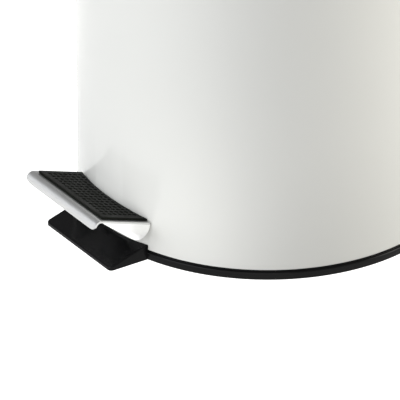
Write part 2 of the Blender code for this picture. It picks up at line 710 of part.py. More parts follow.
def build_bucket():
    """The tub, flat at the rear for the rod's cover, and its rim with two finger grips."""
    rim_low = SHELF_TOP + GAP
    rim_high = rim_low + 0.003
    flat_foot, flat_split, flat_top = 0.103, 0.109, 0.1095
    flat_rim = REAR_SPLIT - 0.0008
    floor_top = BUCKET_BOTTOM + BUCKET_WALL + 0.0005
    turned(
        "inner_bucket",
        [
            (0, BUCKET_BOTTOM),
            (BUCKET_FOOT_R - 0.006, BUCKET_BOTTOM, flat_foot - 0.005),
            (BUCKET_FOOT_R - 0.001, BUCKET_BOTTOM + 0.003, flat_foot - 0.0005),
            (BUCKET_FOOT_R, BUCKET_BOTTOM + 0.008, flat_foot),
            (BUCKET_SPLIT_R, BUCKET_SPLIT_Z, flat_split),
            (BUCKET_SPLIT_R - BUCKET_WALL, BUCKET_SPLIT_Z, flat_split - BUCKET_WALL),
            (BUCKET_FOOT_R - BUCKET_WALL, BUCKET_BOTTOM + 0.009, flat_foot - BUCKET_WALL),
            (BUCKET_FOOT_R - 0.008, floor_top, flat_foot - 0.007),
            (0, floor_top),
        ],
        BUCKET_GREY,
        "bucket",
    )
    rim = turned(
        "bucket_rim",
        [
            (BUCKET_SPLIT_R, BUCKET_SPLIT_Z + GAP, flat_split),
            (BUCKET_R, rim_low, flat_top),
            (BUCKET_RIM_R, rim_low, flat_rim),
            (BUCKET_RIM_R, rim_high, flat_rim),
            (BUCKET_R - BUCKET_WALL + 0.001, rim_high, flat_top - BUCKET_WALL + 0.001),
            (BUCKET_R - BUCKET_WALL, rim_high - 0.001, flat_top - BUCKET_WALL),
            (BUCKET_SPLIT_R - BUCKET_WALL, BUCKET_SPLIT_Z + GAP, flat_split - BUCKET_WALL),
        ],
        BUCKET_GREY,
        "bucket",
    )
    outline = arc((0.022, 0.594), 0.008, -90, 90, 6) + arc((-0.022, 0.594), 0.008, 90, 270, 6)
    cut(rim, prism("bucket_grips", outline, "X", -0.16, 0.16, None))


clear_scene()

PAINT = make_material("cream_paint", (0.80, 0.80, 0.77), 0.22)
BLACK = make_material("black_plastic", (0.016, 0.016, 0.017), 0.42)
RUBBER = make_material("black_rubber", (0.020, 0.021, 0.020), 0.60)
STEEL = make_material("galvanised_steel", (0.56, 0.57, 0.58), 0.38, 1.0)
STEEL_SATIN = make_material("satin_stainless", (0.72, 0.72, 0.71), 0.26, 1.0)
SCREW = make_material("zinc_screw", (0.60, 0.60, 0.58), 0.30, 1.0)
NYLON = make_material("white_nylon", (0.70, 0.70, 0.66), 0.45)
BUCKET_GREY = make_material("bucket_plastic", (0.055, 0.056, 0.058), 0.45)

CAN = make_empty("can_axis", (0, AXIS_Y, 0))
BODIES = {
    "root": CAN,
    "pedal": make_empty("pedal_axis", PIVOT, CAN),
    "lift_rod": make_empty("rod_axis", (0, ROD_Y, 0), CAN),
    "lid": make_empty("lid_axis", LID_PIN, CAN),
    "bucket": make_empty("bucket_axis", (0, 0, BUCKET_BOTTOM), CAN),
}

base_ring, base_plate = build_base()
pedal_brackets, pivot_hole = build_brackets()
build_base_screws(base_ring, base_plate, pedal_brackets)
body_shell = build_body()
build_collar()
pedal_plate, pedal_rear = build_pedal_plate()
build_pad(pedal_rear)
build_lever(pedal_plate, pivot_hole)
build_rod()
build_channel(body_shell)
build_lid(build_hinge(body_shell))
build_handle(body_shell)
build_bucket()
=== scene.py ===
"""Looks of the pedal trash can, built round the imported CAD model.

Lengths are in metres. Shapes are drawn about the can's own axis, in the same
proportions as the frame, and put() moves them to the frame's place.
"""

import math

import bmesh
import bpy
from mathutils import Matrix, Vector


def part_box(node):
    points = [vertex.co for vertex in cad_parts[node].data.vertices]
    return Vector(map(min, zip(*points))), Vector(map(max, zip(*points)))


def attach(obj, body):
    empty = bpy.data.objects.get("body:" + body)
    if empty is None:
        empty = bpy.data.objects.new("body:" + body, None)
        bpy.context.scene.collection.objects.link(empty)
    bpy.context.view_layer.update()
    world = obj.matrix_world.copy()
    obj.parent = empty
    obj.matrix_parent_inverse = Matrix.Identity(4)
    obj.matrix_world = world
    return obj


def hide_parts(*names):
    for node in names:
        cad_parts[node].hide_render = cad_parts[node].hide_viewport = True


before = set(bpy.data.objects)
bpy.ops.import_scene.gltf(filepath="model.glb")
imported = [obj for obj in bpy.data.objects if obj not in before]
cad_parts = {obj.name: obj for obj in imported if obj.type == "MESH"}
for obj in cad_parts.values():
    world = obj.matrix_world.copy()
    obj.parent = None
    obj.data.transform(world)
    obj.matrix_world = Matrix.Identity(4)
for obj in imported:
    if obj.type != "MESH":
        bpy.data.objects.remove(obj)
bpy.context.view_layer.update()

SHELL_LOW, SHELL_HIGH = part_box("body_shell")
R = (SHELL_HIGH.x - SHELL_LOW.x) / 2
AXIS_Y = (SHELL_HIGH.y + SHELL_LOW.y) / 2
RING_LOW, RING_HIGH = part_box("base_ring")
RING_R = RING_HIGH.x
GAP = 0.0003
ROUND = 240
RIGHT, BACK, UP, DOWN = (1, 0, 0), (0, 1, 0), (0, 0, 1), (0, 0, -1)
SIDES = ((-1, "left"), (1, "right"))
SHEET = 0.0012
DRILL_R = 0.0022

# The two pins' places and bores, and the arm in the lid's notch, as in the CAD.
PIVOT, PIVOT_BORE = Vector((0, -0.0949, 0.018)), 0.0033
HINGE, HINGE_BORE = Vector((0, 0.156, 0.632)), 0.0028
ARM_HALF = 0.0265
NOTCH_HALF, NOTCH_Z = ARM_HALF + 0.0005, (0.60, 0.6373)

# The tread's plane: z = TREAD_Z + TREAD_RISE * (TREAD_Y - y).
TREAD_Y = -1.2365 * R
TREAD_Z = 0.3385 * R
TREAD_RISE = 0.336
TREAD_ANGLE = math.atan(TREAD_RISE)
PAD_THICK = 0.0020
PLATE_THICK = 0.0015
LEVER_THICK = 0.003
NOSE_R = 0.035 * R
NOSE_Y = -1.260 * R
PAD_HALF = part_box("pedal_pad")[1].x
PLATE_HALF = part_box("pedal_plate")[1].x
PEDAL_REAR_R = 1.005 * R
LIP_CORNER = 0.028


# Shapes


def put(name, bm, material, body, nodes=(), sharp=30):
    """Makes the bmesh a piece that rides on body and stands for the CAD nodes."""
    bmesh.ops.recalc_face_normals(bm, faces=bm.faces[:])
    mesh = bpy.data.meshes.new(name)
    bm.to_mesh(mesh)
    bm.free()
    mesh.transform(Matrix.Translation((0, AXIS_Y, 0)))
    mesh.shade_smooth()
    mesh.set_sharp_from_angle(angle=math.radians(sharp))
    obj = bpy.data.objects.new(name, mesh)
    bpy.context.scene.collection.objects.link(obj)
    if material is None:
        return obj
    mesh.materials.append(material)
    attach(obj, body)
    if nodes:
        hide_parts(*nodes)
    return obj


def bm_turned(profile, segments=ROUND, matrix=None, flats=None, warp=None):
    """A solid turned about Z from (radius, z) points, capped on the axis or closed into a ring."""
    bm = bmesh.new()
    rings = []
    for k, (radius, z) in enumerate(profile):
        if radius == 0:
            rings.append([bm.verts.new((0, 0, z))])
            continue
        ring = []
        for i in range(segments):
            angle = 2 * math.pi * i / segments
            x, y = radius * math.sin(angle), -radius * math.cos(angle)
            if flats:
                x, y = flatten(x, y, flats[k])
            if warp:
                x, y = warp(x, y)
            ring.append(bm.verts.new((x, y, z)))
        rings.append(ring)
    pairs = list(zip(rings, rings[1:]))
    if profile[0][0] > 0:
        pairs.append((rings[-1], rings[0]))
    for low, high in pairs:
        for i in range(segments):
            j = (i + 1) % segments
            corners = [low[i % len(low)], low[j % len(low)], high[j % len(high)], high[i % len(high)]]
            bm.faces.new(list(dict.fromkeys(corners)))
    if matrix is not None:
        bmesh.ops.transform(bm, matrix=matrix, verts=bm.verts[:])
    return bm


def bm_cylinder(radius, low, high, start, direction, segments):
    """A plain cylinder from low to high along direction."""
    profile = [(0, low), (radius, low), (radius, high), (0, high)]
    return bm_turned(profile, segments, along(start, direction))


def flatten(x, y, flat):
    """Presses a point back to the flat rear of the bucket, with a soft corner."""
    soft = 0.006
    if y > flat + soft:
        return x, flat
    if y > flat - soft:
        return x, flat - (flat + soft - y) ** 2 / (4 * soft)
    return x, y


def along(start, direction):
    """The transform that lays Z along direction, from start."""
    turn = Vector(direction).to_track_quat("Z", "Y").to_matrix().to_4x4()
    return Matrix.Translation(Vector(start)) @ turn


def arc(centre, radius, start, end, steps):
    """Points on a circle, or on an ellipse when radius is a pair, between two angles."""
    semi = radius if isinstance(radius, tuple) else (radius, radius)
    points = []
    for i in range(steps + 1):
        t = math.radians(start + (end - start) * i / steps)
        points.append((centre[0] + semi[0] * math.cos(t), centre[1] + semi[1] * math.sin(t)))
    return points


def rounded(profile, radius, steps=3, closed=True):
    """Rounds the corners of a profile that turn by more than a few degrees."""
    out = []
    count = len(profile)
    for i, point in enumerate(profile):
        if not closed and i in (0, count - 1):
            out.append(point)
            continue
        p = Vector(point)
        a = Vector(profile[i - 1]) - p
        b = Vector(profile[(i + 1) % count]) - p
        turn = math.pi - a.angle(b)
        if turn < math.radians(12):
            out.append(point)
            continue
        reach = min(radius * math.tan(turn / 2), 0.45 * a.length, 0.45 * b.length)
        start, end = p + a.normalized() * reach, p + b.normalized() * reach
        for k in range(steps + 1):
            t = k / steps
            q = start * (1 - t) ** 2 + p * 2 * t * (1 - t) + end * t**2
            out.append((q.x, q.y))
    return out


def oblong(half, low, high):
    """The outline of a rectangle that is 2 * half wide."""
    return [(-half, low), (half, low), (half, high), (-half, high)]


def bm_prism(outline, axis, low, high):
    """A solid with the (u, v) outline, drawn from low to high along an axis."""
    order = {"X": (2, 0, 1), "Y": (0, 2, 1), "Z": (0, 1, 2)}[axis]
    bm = bmesh.new()
    layers = []
    for level in (low, high):
        layer = []
        for u, v in outline:
            raw = (u, v, level)
            layer.append(bm.verts.new([raw[k] for k in order]))
        layers.append(layer)
    bm.faces.new(layers[0])
    bm.faces.new(layers[1])
    count = len(outline)
    for i in range(count):
        j = (i + 1) % count
        bm.faces.new((layers[0][i], layers[0][j], layers[1][j], layers[1][i]))
    return bm


def bm_block(x, y, z):
    """A box between pairs of x, y and z."""
    return bm_prism([(x[0], y[0]), (x[1], y[0]), (x[1], y[1]), (x[0], y[1])], "Z", *z)


def bevel_edges(bm, width, segments=3, angle=30, within=None):
    """Rounds every edge sharper than angle, or only those between the verts in within."""
    bmesh.ops.recalc_face_normals(bm, faces=bm.faces[:])
    if within:
        edges = [e for e in bm.edges if e.verts[0] in within and e.verts[1] in within]
    else:
        limit = math.radians(angle)
        edges = [e for e in bm.edges if len(e.link_faces) == 2 and e.calc_face_angle() > limit]
    style = {"profile": 0.5, "affect": "EDGES", "clamp_overlap": True}
    bmesh.ops.bevel(bm, geom=edges, offset=width, segments=segments, **style)
    return bm


def tool(name, bm):
    """A hidden solid for combine()."""
    return put(name, bm, None, None)


def drill(radius, low, high, start, direction, segments=24):
    """A hidden cylinder for combine()."""
    return tool("drill", bm_cylinder(radius, low, high, start, direction, segments))


def combine(obj, others, operation="DIFFERENCE"):
    """Cuts the others from obj or joins them to it, and clears them away."""
    for other in others:
        modifier = obj.modifiers.new("shape", "BOOLEAN")
        modifier.operation = operation
        modifier.object = other
    graph = bpy.context.evaluated_depsgraph_get()
    mesh = bpy.data.meshes.new_from_object(obj.evaluated_get(graph))
    obj.modifiers.clear()
    obj.data = mesh
    for other in others:
        bpy.data.objects.remove(other, do_unlink=True)
    mesh.set_sharp_from_angle(angle=math.radians(30))
    return obj


def middle(node):
    """The x and y of a node's middle about the can's axis, and its lowest and highest z."""
    low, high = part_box(node)
    return (low.x + high.x) / 2, (low.y + high.y) / 2 - AXIS_Y, low.z, high.z


def tread_z(y, below=0.0):
    """The height of the tread's plane at y, or of a plane that lies below it."""
    return TREAD_Z + TREAD_RISE * (TREAD_Y - y) - below / math.cos(TREAD_ANGLE)


def pedal_rear(x):
    """The y of the pedal's rear edge, which follows the shell."""
    return -math.sqrt((PEDAL_REAR_R + 0.0002) ** 2 - x**2)


# Materials


class Surface:
    """A Principled material whose colour, roughness and relief come from noise."""

    def __init__(self, name, colour, roughness, metallic=0.0, **fixed):
        self.material = bpy.data.materials.new(name)
        self.material.use_nodes = True
        self.tree = self.material.node_tree
        self.shader = self.tree.nodes["Principled BSDF"]
        self.shader.inputs["Base Color"].default_value = (*colour, 1)
        self.shader.inputs["Roughness"].default_value = roughness
        self.shader.inputs["Metallic"].default_value = metallic
        for socket, value in fixed.items():
            self.shader.inputs[socket.replace("_", " ")].default_value = value
        self.colour = colour
        self.roughness = roughness
        self.coords = self.tree.nodes.new("ShaderNodeTexCoord").outputs["Object"]
        self.normal = None

    def node(self, kind, links=None, **values):
        """A new node with its properties or input values set, and its inputs linked."""
        node = self.tree.nodes.new(kind)
        for key, value in values.items():
            if hasattr(node, key):
                setattr(node, key, value)
            else:
                node.inputs[key].default_value = value
        for key, source in (links or {}).items():
            self.tree.links.new(source, node.inputs[key])
        return node

    def noise(self, scale, stretch=(1, 1, 1), detail=3.0, rough=0.55):
        """Noise with about scale features in a metre, drawn out along an axis."""
        mapping = self.node("ShaderNodeMapping", {"Vector": self.coords}, Scale=stretch)
        links = {"Vector": mapping.outputs["Vector"]}
        values = {"Scale": scale, "Detail": detail, "Roughness": rough}
        return self.node("ShaderNodeTexNoise", links, **values).outputs["Fac"]

    def ranged(self, source, low, high, start=0.3, end=0.7):
        """The source's stretch from start to end, spread over low to high."""
        links = {"Value": source}
        values = {"From Min": start, "From Max": end, "To Min": low, "To Max": high}
        return self.node("ShaderNodeMapRange", links, **values).outputs["Result"]

    def vary_roughness(self, source, spread, start=0.3, end=0.7):
        """Lets the roughness wander by spread either way."""
        low, high = self.roughness - spread, self.roughness + spread
        result = self.ranged(source, max(low, 0.02), high, start, end)
        self.tree.links.new(result, self.shader.inputs["Roughness"])
        return self

    def vary_colour(self, source, other, start=0.35, end=0.75):
        """Mixes the other colour in where the source is high."""
        factor = self.ranged(source, 0.0, 1.0, start, end)
        mix = self.node("ShaderNodeMix", {"Factor": factor}, data_type="RGBA")
        mix.inputs[6].default_value = (*self.colour, 1)
        mix.inputs[7].default_value = (*other, 1)
        self.tree.links.new(mix.outputs[2], self.shader.inputs["Base Color"])
        return self

    def relief(self, source, depth, strength=1.0):
        """Adds fine bumps to those already there."""
        links = {"Height": source}
        if self.normal is not None:
            links["Normal"] = self.normal
        bump = self.node("ShaderNodeBump", links, Strength=strength, Distance=depth)
        self.normal = bump.outputs["Normal"]
        self.tree.links.new(self.normal, self.shader.inputs["Normal"])
        return self


def paint():
    """Cream white powder coat with a faint orange peel under a clear gloss."""
    gloss = {"Specular_IOR_Level": 0.12, "Coat_Weight": 0.32, "Coat_Roughness": 0.07}
    s = Surface("cream_paint", (0.735, 0.733, 0.702), 0.34, **gloss)
    s.vary_roughness(s.noise(35), 0.03)
    s.vary_colour(s.noise(9, detail=2), (0.728, 0.726, 0.694))
    s.relief(s.noise(420, detail=2), 0.00001, 0.25)
    return s.material


def black_plastic():
    """Moulded black plastic with a fine spark-eroded grain and faint handling marks."""
    s = Surface("black_plastic", (0.0040, 0.0040, 0.0042), 0.17, Specular_IOR_Level=0.09)
    s.vary_roughness(s.noise(60, detail=5), 0.04)
    s.vary_colour(s.noise(22, detail=4), (0.0060, 0.0060, 0.0063))
    s.relief(s.noise(2600, detail=2), 0.00002, 0.35)
    return s.material


def rubber(name, colour, sheen):
    """Dull rubber with a dry grain and paler patches."""
    s = Surface(name, colour, 0.45, Specular_IOR_Level=0.06)
    s.vary_roughness(s.noise(90, detail=4), 0.08)
    s.vary_colour(s.noise(45, detail=4), sheen)
    s.relief(s.noise(1800, detail=3), 0.00004, 0.5)
    return s.material


def brushed(name, colour, roughness, stretch=(0.012, 1, 1), spread=0.03):
    """Steel with fine lines along the axis whose stretch is small."""
    s = Surface(name, colour, roughness, 1.0)
    lines = s.noise(5200, stretch, detail=3, rough=0.6)
    s.vary_roughness(lines, spread)
    s.vary_colour(s.noise(70, detail=3), tuple(0.93 * c for c in colour))
    s.relief(s.noise(240, stretch, detail=2), 0.000003, 0.5)
    return s.material


def galvanised(name, colour, roughness):
    """Zinc coated steel with soft crystal patches."""
    s = Surface(name, colour, roughness, 1.0)
    links = {"Vector": s.coords}
    cells = s.node("ShaderNodeTexVoronoi", links, Scale=130.0).outputs["Color"]
    grey = s.node("ShaderNodeRGBToBW", {"Color": cells}).outputs["Val"]
    s.vary_colour(grey, tuple(0.82 * c for c in colour), 0.2, 0.8)
    s.vary_roughness(grey, 0.07, 0.2, 0.8)
    s.relief(s.noise(500, detail=3), 0.00002, 0.4)
    return s.material


def nylon():
    """Undyed nylon with a little depth."""
    s = Surface("natural_nylon", (0.66, 0.65, 0.60), 0.42, Subsurface_Weight=0.15, Subsurface_Scale=0.002)
    s.vary_roughness(s.noise(70, detail=3), 0.05)
    s.vary_colour(s.noise(40, detail=3), (0.60, 0.59, 0.53))
    s.relief(s.noise(1500, detail=2), 0.00002, 0.4)
    return s.material


def bucket_plastic():
    """Dark grey moulded plastic with faint streaks up the wall."""
    s = Surface("bucket_plastic", (0.050, 0.051, 0.054), 0.42)
    s.vary_roughness(s.noise(40, detail=5), 0.07)
    s.vary_colour(s.noise(18, (1, 1, 0.3), detail=4), (0.066, 0.067, 0.070))
    s.relief(s.noise(1900, detail=2), 0.00003, 0.5)
    return s.material


PAINT = paint()
BLACK = black_plastic()
TREAD = rubber("tread_rubber", (0.0042, 0.0047, 0.0036), (0.0080, 0.0088, 0.0068))
FOOT = rubber("foot_rubber", (0.020, 0.020, 0.020), (0.030, 0.030, 0.030))
SATIN = brushed("satin_stainless", (0.55, 0.55, 0.547), 0.45)
POLISHED = brushed("polished_stainless", (0.98, 0.98, 0.975), 0.36, (1, 0.03, 1), 0.015)
STEEL = galvanised("galvanised_steel", (0.56, 0.57, 0.58), 0.36)
ZINC = brushed("zinc_fastener", (0.62, 0.62, 0.60), 0.28, (1, 1, 1), 0.05)
NYLON = nylon()
BUCKET = bucket_plastic()


# Camera, light and floor


AZIMUTH, ELEVATION = 56.1, 28.77


def make_camera():
    """The photograph's viewpoint: a long lens from the front right, looking down."""
    azimuth, elevation = math.radians(AZIMUTH), math.radians(ELEVATION)
    distance = 30.31 * R
    right = Vector((math.cos(azimuth), math.sin(azimuth), 0))
    level = math.cos(elevation)
    back = Vector((math.sin(azimuth) * level, -math.cos(azimuth) * level, math.sin(elevation)))
    target = right * (-0.3506 * R) + Vector((0, AXIS_Y, -0.0784 * R))
    data = bpy.data.cameras.new("camera")
    data.lens = 512.5
    data.sensor_width = 36
    camera = bpy.data.objects.new("camera", data)
    camera.location = target + back * distance
    camera.rotation_mode = "QUATERNION"
    camera.rotation_quaternion = (-back).to_track_quat("-Z", "Y")
    bpy.context.scene.collection.objects.link(camera)
    bpy.context.scene.camera = camera


def area_light(name, place, target, size, power, colour=(1, 1, 1)):
    """A soft light of size metres and power watts that faces its target."""
    data = bpy.data.lights.new(name, "AREA")
    data.shape = "RECTANGLE"
    data.size, data.size_y = size
    data.energy = power
    data.color = colour
    light = bpy.data.objects.new(name, data)
    light.location = place
    light.rotation_mode = "QUATERNION"
    light.rotation_quaternion = (Vector(target) - Vector(place)).to_track_quat("-Z", "Y")
    bpy.context.scene.collection.objects.link(light)
    return light


def around(angle, distance, height):
    """A place seen that far round to the right of the camera's own direction."""
    turn = math.radians(AZIMUTH + angle)
    return (distance * math.sin(turn), -distance * math.cos(turn), height)


def make_studio():
    """Four soft lights and an even glow, with two faint fills low in front of the pedal."""
    world = bpy.data.worlds.new("studio")
    world.use_nodes = True
    background = world.node_tree.nodes["Background"]
    background.inputs["Color"].default_value = (1, 1, 1, 1)
    background.inputs["Strength"].default_value = 0.36
    bpy.context.scene.world = world
    centre = (0, 0, 0.25)
    area_light("left_softbox", around(-64, 2.0, 1.15), centre, (2.4, 1.8), 47.5, (0.94, 0.965, 1.0))
    area_light("right_softbox", around(90, 1.9, 1.05), centre, (1.2, 1.5), 47, (1.0, 0.985, 0.93))
    area_light("front_softbox", around(-6, 2.4, 1.7), centre, (1.8, 1.4), 18)
    area_light("top_softbox", (0, 0, 2.4), (0, 0, 0), (1.6, 1.6), 4)
    for name, distance, height, power in (
        ("low_fill", 0.33, 0.07, 0.02),
        ("foot_fill", 0.25, 0.03, 0.028),
    ):
        low = area_light(name, around(-24, distance, height), (0, 0, 0.05), (0.12, 0.03), power)
        low.visible_glossy = low.visible_camera = False
    bpy.context.scene.view_settings.view_transform = "Standard"


def make_floor():
    """A white floor, in one sheet for each kind of ray: seen, mirrored and lighting."""
    for name, grey, glow, rays in (
        ("floor", 0.8, 1.12, "camera"),
        ("floor_mirrored", 0.8, 1.02, "glossy"),
        ("floor_bounce", 0.1, 0.0, "diffuse"),
    ):
        bm = bmesh.new()
        bmesh.ops.create_grid(bm, x_segments=8, y_segments=8, size=14)
        mesh = bpy.data.meshes.new(name)
        bm.to_mesh(mesh)
        bm.free()
        floor = bpy.data.objects.new(name, mesh)
        bpy.context.scene.collection.objects.link(floor)
        s = Surface(name, (grey, grey, 0.96 * grey), 0.9, Emission_Strength=glow)
        s.shader.inputs["Emission Color"].default_value = (1, 1, 1, 1)
        s.relief(s.noise(900), 0.00002, 0.2)
        mesh.materials.append(s.material)
        for kind in ("camera", "glossy", "diffuse", "transmission", "shadow"):
            setattr(floor, f"visible_{kind}", kind == rays)


# Body


def make_body_shell():
    """The painted steel tube, with hemmed ends, a seam at the back and the pedal's slot."""
    low, high, inner = SHELL_LOW.z, SHELL_HIGH.z, R - SHEET
    hem = SHEET / 2
    outside = [(R, low + hem + (high - low - SHEET) * k / 6) for k in range(7)]
    inside = [(inner, z) for _, z in outside[::-1]]
    profile = arc((R - hem, low + hem), hem, 270, 360, 4)[:-1] + outside
    profile += arc((R - hem, high - hem), hem, 0, 180, 8)[1:-1]
    profile += inside + arc((R - hem, low + hem), hem, 180, 270, 4)[1:-1]
    bm = bm_turned(profile, warp=seam)
    shell = put("body_shell_painted", bm, PAINT, "can", ["body_shell"])
    slot = rounded(oblong(0.0185, 0.0175, 0.0355), 0.003, 5)
    tools = [tool("slot", bm_prism(slot, "Y", -R - 0.01, -R + 0.02))]
    combine(shell, tools + wall_drills(0.006) + rivet_drills())


def seam(x, y):
    """A fine lap seam down the middle of the back."""
    half_width, depth = 0.0030, 0.00022
    radius = math.hypot(x, y)
    if y > 0 and radius > R - 0.0004:
        scale = 1 - depth * max(0.0, 1 - abs(x) / half_width) / radius
        return x * scale, y * scale
    return x, y


def radial(side, angle, z):
    """A screw's seat inside the shell and its outward direction."""
    turn = math.radians(90 - side * angle)
    out = Vector((math.cos(turn), math.sin(turn), 0))
    seat = out * (R - 0.0018)
    seat.z = z
    return seat, out


def outward_screws():
    """Seat, direction and node of the screws that come out through the rear wall."""
    screws = []
    for side, word in SIDES:
        screws.append((*radial(side, 14.5, 0.578), f"housing_screw_{word}"))
        screws.append((*radial(side, 19.5, (HANDLE_LOW.z + HANDLE_HIGH.z) / 2), f"handle_screw_{word}"))
    return screws


HANDLE_LOW, HANDLE_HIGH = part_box("carry_handle")
OUTWARD_SCREWS = outward_screws()
RIVETS = [(side * 0.0208, 0.130, z) for z in (0.112, 0.548) for side in (-1, 1)]


def wall_drills(depth, kinds=("housing", "handle")):
    """Drills for the outward screws whose names start with kinds."""
    screws = [(seat, out) for seat, out, name in OUTWARD_SCREWS if name.startswith(kinds)]
    return [drill(DRILL_R, -0.004, depth, seat, out) for seat, out in screws]


def rivet_drills():
    """Drills for the channel's rivets."""
    return [drill(0.0017, 0, 0.03, place, BACK) for place in RIVETS]


def make_base_ring():
    """The moulded base: foot rim, lit top edge, shadow groove, upstand and floor."""
    top, bottom = 0.0066, RING_LOW.z
    upstand, upstand_inner = 0.1452, 0.1425
    floor_low, floor_high = 0.0022, 0.005
    profile = [
        (0, floor_low),
        (0.1383, floor_low),
        (0.1390, bottom),
        (RING_R - 0.0007, bottom),
        (RING_R, bottom + 0.0007),
        (RING_R, top - 0.0006),
        (RING_R - 0.0005, top),
        (upstand, top),
        (upstand, SHELL_LOW.z - GAP),
        (0.1445, SHELL_LOW.z - GAP),
        (0.1445, 0.016),
        (upstand_inner, 0.016),
        (upstand_inner, floor_high),
        (0, floor_high),
    ]
    bm = bm_turned(rounded(profile, 0.00035, 3, False))
    ring = put("base_ring_moulded", bm, BLACK, "can", ["base_ring"])
    combine(ring, [tool("tongue", bm_tongue())], "UNION")
    drills = []
    for k in range(1, 7):
        x, y = middle(f"base_screw_{k}")[:2]
        drills.append(drill(DRILL_R, 0, 0.01, (x, y, -0.002), UP))
    combine(ring, drills)


def bm_tongue():
    """The flat tongue under the pedal, sloping up to the shell."""
    half, front = 0.3075 * R, -1.19 * R
    tip, top = 0.022 * R, 0.078 * R
    slope = (top - tip) / (-R - front)
    inner = R + GAP
    side_angle = math.degrees(math.asin(half / inner))
    corner = 0.0034
    outline = arc((half - corner, front + corner), corner, 270, 360, 8)
    outline += arc((0, 0), inner, -90 + side_angle, -90 - side_angle, 40)
    outline += arc((-half + corner, front + corner), corner, 180, 270, 8)
    bm = bmesh.new()
    low = [bm.verts.new((x, y, RING_LOW.z)) for x, y in outline]
    high = [bm.verts.new((x, y, tip + slope * (y - front))) for x, y in outline]
    bm.faces.new(low)
    bm.faces.new(high)
    count = len(outline)
    for i in range(count):
        j = (i + 1) % count
        bm.faces.new((low[i], low[j], high[j], high[i]))
    return bevel_edges(bm, 0.0010, 5, within=high)


# Pedal


def bm_sheet(rows, thickness):
    """A closed sheet from rows of (point, inward normal) pairs."""
    bm = bmesh.new()
    faces = []
    for offset in (0.0, thickness):
        faces.append([[bm.verts.new(p + n * offset) for p, n in row] for row in rows])
    top, under = faces
    for grid, flip in ((top, False), (under, True)):
        for a, b in zip(grid, grid[1:]):
            for i in range(len(a) - 1):
                quad = [a[i], a[i + 1], b[i + 1], b[i]]
                bm.faces.new(quad[::-1] if flip else quad)
    for k in range(len(rows) - 1):
        for i in (0, -1):
            bm.faces.new((top[k][i], top[k + 1][i], under[k + 1][i], under[k][i]))
    for i in range(len(rows[0]) - 1):
        for k in (0, -1):
            bm.faces.new((top[k][i], top[k][i + 1], under[k][i + 1], under[k][i]))
    return bm


def make_pedal_plate():
    """The satin steel top: a flat tread bed, a rolled nose and a lip with round corners."""
    half = PLATE_HALF - 0.0001
    across = [half * math.sin(math.pi / 2 * k / 40) for k in range(-40, 41)]
    nose_z = tread_z(NOSE_Y, PAD_THICK) - NOSE_R / math.cos(TREAD_ANGLE)
    start, lip_end = 90 - math.degrees(TREAD_ANGLE), 240
    flat_steps, nose_steps = 12, 30
    tangent_y = NOSE_Y + NOSE_R * math.cos(math.radians(start))
    flat_normal = Vector((0, -math.sin(TREAD_ANGLE), -math.cos(TREAD_ANGLE)))
    rows = []
    for k in range(flat_steps + 1):
        row = []
        for x in across:
            rear = pedal_rear(x)
            y = rear + (tangent_y - rear) * k / flat_steps
            row.append((Vector((x, y, tread_z(y, PAD_THICK))), flat_normal))
        rows.append(row)
    for k in range(1, nose_steps + 1):
        row = []
        for x in across:
            end = max(0.0, (abs(x) - half + LIP_CORNER) / LIP_CORNER)
            last = start + (lip_end - start) * (0.50 + 0.50 * math.sqrt(max(0.0, 1 - end**2.2)))
            turn = math.radians(start + (last - start) * k / nose_steps)
            out = Vector((0, math.cos(turn), math.sin(turn)))
            row.append((Vector((x, NOSE_Y, nose_z)) + out * NOSE_R, -out))
        rows.append(row)
    bm = bevel_edges(bm_sheet(rows, PLATE_THICK), 0.00045, 3, 50)
    put("pedal_plate_satin", bm, SATIN, "pedal", ["pedal_plate"], 40)


def make_cheeks():
    """The half-moon sides that hang from the plate, just inside its edge."""
    sheet, under = 0.0014, PAD_THICK + PLATE_THICK + 0.0002
    centre, semi = (-1.020 * R, 0.222 * R), (0.067 * R, 0.0735 * R)
    lean = math.degrees(math.atan2(0.82 * semi[0], semi[1]))
    outline = arc(centre, semi, 270 - lean, 352, 22)
    rear_y = centre[0] + semi[0]
    outline.append((rear_y, tread_z(rear_y, under)))
    front_y = -1.247 * R
    outline.append((front_y, tread_z(front_y, under)))
    outline.append((front_y, 0.3155 * R))
    for side, word in SIDES:
        outer = side * (PLATE_HALF - 0.0005)
        bm = bm_prism(outline, "X", *sorted((outer, outer - side * sheet)))
        bevel_edges(bm, 0.0004, 3, 25)
        put(f"pedal_cheek_{word}", bm, POLISHED, "pedal", (), 40)


def pad_steps(length, edge, pitch):
    """Distances from 0 to length, close together at both ends for the rounded edge."""
    ends = [0, 0.12 * edge, 0.3 * edge, 0.6 * edge, edge]
    count = max(2, round((length - 2 * edge) / pitch))
    between = [edge + (length - 2 * edge) * k / count for k in range(1, count)]
    return ends + between + [length - d for d in reversed(ends)]


